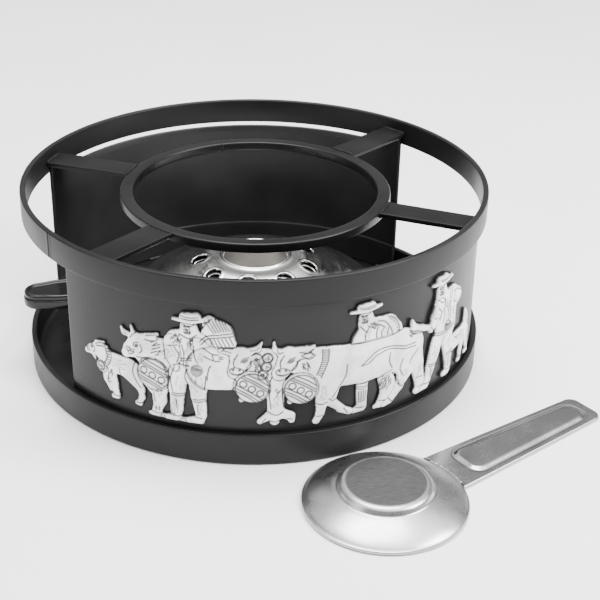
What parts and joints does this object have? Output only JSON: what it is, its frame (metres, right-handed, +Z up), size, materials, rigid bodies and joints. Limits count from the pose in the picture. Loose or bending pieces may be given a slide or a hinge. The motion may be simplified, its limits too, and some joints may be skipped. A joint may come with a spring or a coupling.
{
  "type": "fondue burner stand",
  "caption": "Round black fondue stand with a pot ring and a cattle-drive relief, a lift-out paste burner with an air regulator, and a loose snuffer with a strip handle.",
  "frame": {"origin": "middle of the stand's flat underside, on its own axis", "axes": "+Z up; the relief on the front wall faces -Y; the burner's handle points to -X"},
  "size_m": [0.2715, 0.3169, 0.097],
  "materials": {
    "base_plate": "satin",
    "base_ring": "satin",
    "front_wall": "satin",
    "back_wall": "satin",
    "top_hoop": "satin",
    "pot_ring": "satin",
    "arm_front_left": "satin",
    "arm_front_right": "satin",
    "arm_back_left": "satin",
    "arm_back_right": "satin",
    "burner_seat": "satin",
    "relief": "cast pewter, satin",
    "rivet_left": "cast pewter, satin",
    "rivet_right": "cast pewter, satin",
    "burner_pan": "brushed",
    "fuel_cup": "brushed",
    "fuel_gauze": "brushed",
    "air_plate": "brushed",
    "burner_dome": "brushed",
    "handle_tang": "brushed",
    "handle_screw": "brushed",
    "snuffer_dish": "brushed",
    "snuffer_handle": "brushed",
    "fuel_wadding": "fibrous",
    "handle_grip": "glossy",
    "handle_cover": "glossy"
  },
  "bodies": {
    "stand": {"base_plate": "base_plate", "base_ring": "base_ring", "front_wall": "front_wall", "back_wall": "back_wall", "top_hoop": "top_hoop", "pot_ring": "pot_ring", "arm_front_left": "arm_front_left", "arm_front_right": "arm_front_right", "arm_back_left": "arm_back_left", "arm_back_right": "arm_back_right", "burner_seat": "burner_seat", "relief": "relief", "rivet_left": "rivet_left", "rivet_right": "rivet_right"},
    "burner": {"burner_pan": "burner_pan", "fuel_cup": "fuel_cup", "fuel_wadding": "fuel_wadding", "fuel_gauze": "fuel_gauze", "air_plate": "air_plate", "handle_tang": "handle_tang", "handle_grip": "handle_grip", "handle_cover": "handle_cover", "handle_screw": "handle_screw"},
    "regulator": {"burner_dome": "burner_dome"},
    "snuffer": {"snuffer_dish": "snuffer_dish", "snuffer_handle": "snuffer_handle"}
  },
  "joints": [
    {"name": "burner_lift", "type": "slide", "parent": "stand", "child": "burner", "axis": [0, 0, 1], "range_m": [0, 0.035]},
    {"name": "regulator_turn", "type": "hinge", "parent": "burner", "child": "regulator", "pos_m": [0, 0, 0.036], "axis": [0, 0, 1], "range_deg": [0, 20]},
    {"name": "snuffer_lift", "type": "slide", "parent": "stand", "child": "snuffer", "axis": [0, 0, 1], "range_m": [0, 0.12]}
  ]
}
